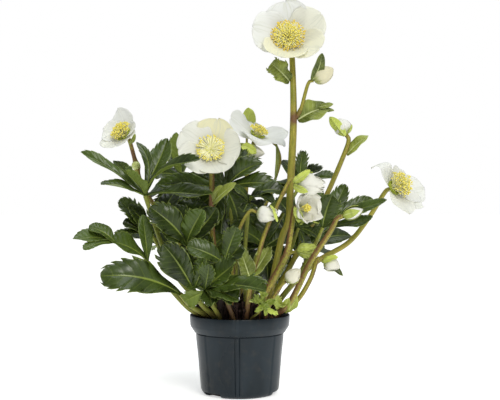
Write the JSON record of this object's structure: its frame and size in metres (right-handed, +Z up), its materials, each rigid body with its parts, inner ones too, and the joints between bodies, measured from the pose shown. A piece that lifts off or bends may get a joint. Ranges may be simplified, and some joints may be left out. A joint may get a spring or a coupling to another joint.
{
  "type": "hellebore plant",
  "caption": "Flowering Christmas rose in a round nursery pot: leathery divided leaves, thick flower stems, open white flowers with yellow hearts, nodding buds and bracts.",
  "frame": {"origin": "centre of the pot's flat underside", "axes": "+Z up through the pot's axis; the plant's face looks along -Y; +X is to its right as seen from the front"},
  "size_m": [0.4096, 0.284, 0.4725],
  "materials": {
    "pot_plastic": "injection-moulded polypropylene, dark slate grey, satin",
    "compost": "moist peat compost, dark brown and crumbly; its density is near that of moist peat",
    "rootstock": "woody rootstock with cord roots, dull brown",
    "leaf": "leathery evergreen leaf, dark green, waxy gloss, pale veins",
    "stem": "fleshy flower stem, light green flushed with reddish brown, satin",
    "sepal": "white flower sepal, thin, matt and slightly translucent, fine veins",
    "stamen": "yellow anthers on pale filaments round a green ring of nectaries",
    "bud": "closed flower bud, cream white with green at its foot, satin",
    "bract": "small leaf on a flower stem, light to mid green, satin"
  },
  "bodies": {
    "root": {"pot": "pot_plastic", "compost": "compost", "rootstock": "rootstock", "leaf_left_high": "leaf", "leaf_left_middle": "leaf", "leaf_left_low": "leaf", "leaf_front_left": "leaf", "leaf_front_low": "leaf", "leaf_centre_low": "leaf", "leaf_centre": "leaf", "leaf_middle_low": "leaf", "leaf_middle": "leaf", "leaf_centre_right": "leaf", "leaf_right": "leaf", "leaf_right_low": "leaf", "leaf_right_high": "leaf", "leaf_back_centre": "leaf", "leaf_left_back": "leaf", "leaf_back_high": "leaf", "leaf_back_left": "leaf", "leaf_back": "leaf", "leaf_back_right": "leaf", "young_leaf": "leaf", "stem_tall": "stem", "stem_front": "stem", "stem_forked": "stem", "stem_curled": "stem", "stem_right_high": "stem", "stem_right": "stem", "stem_far_right": "stem", "stem_right_low": "stem", "stem_bud_low": "stem", "stem_centre": "stem", "stem_left": "stem", "stem_back": "stem", "flower_top_sepals": "sepal", "flower_top_heart": "stamen", "flower_centre_sepals": "sepal", "flower_centre_heart": "stamen", "flower_left_sepals": "sepal", "flower_left_heart": "stamen", "flower_right_sepals": "sepal", "flower_right_heart": "stamen", "flower_back_sepals": "sepal", "flower_back_heart": "stamen", "half_open_flower_upper": "bud", "half_open_flower_lower": "bud", "bud_top": "bud", "bud_right_high": "bud", "bud_centre": "bud", "bud_low": "bud", "bud_right_low": "bud", "bud_back": "bud", "bud_green": "bud", "bud_right": "bud", "bract_tall_left": "bract", "bract_tall_right": "bract", "bract_top_bud": "bract", "bract_right_high": "bract", "bract_right_bud": "bract"}
  },
  "joints": []
}
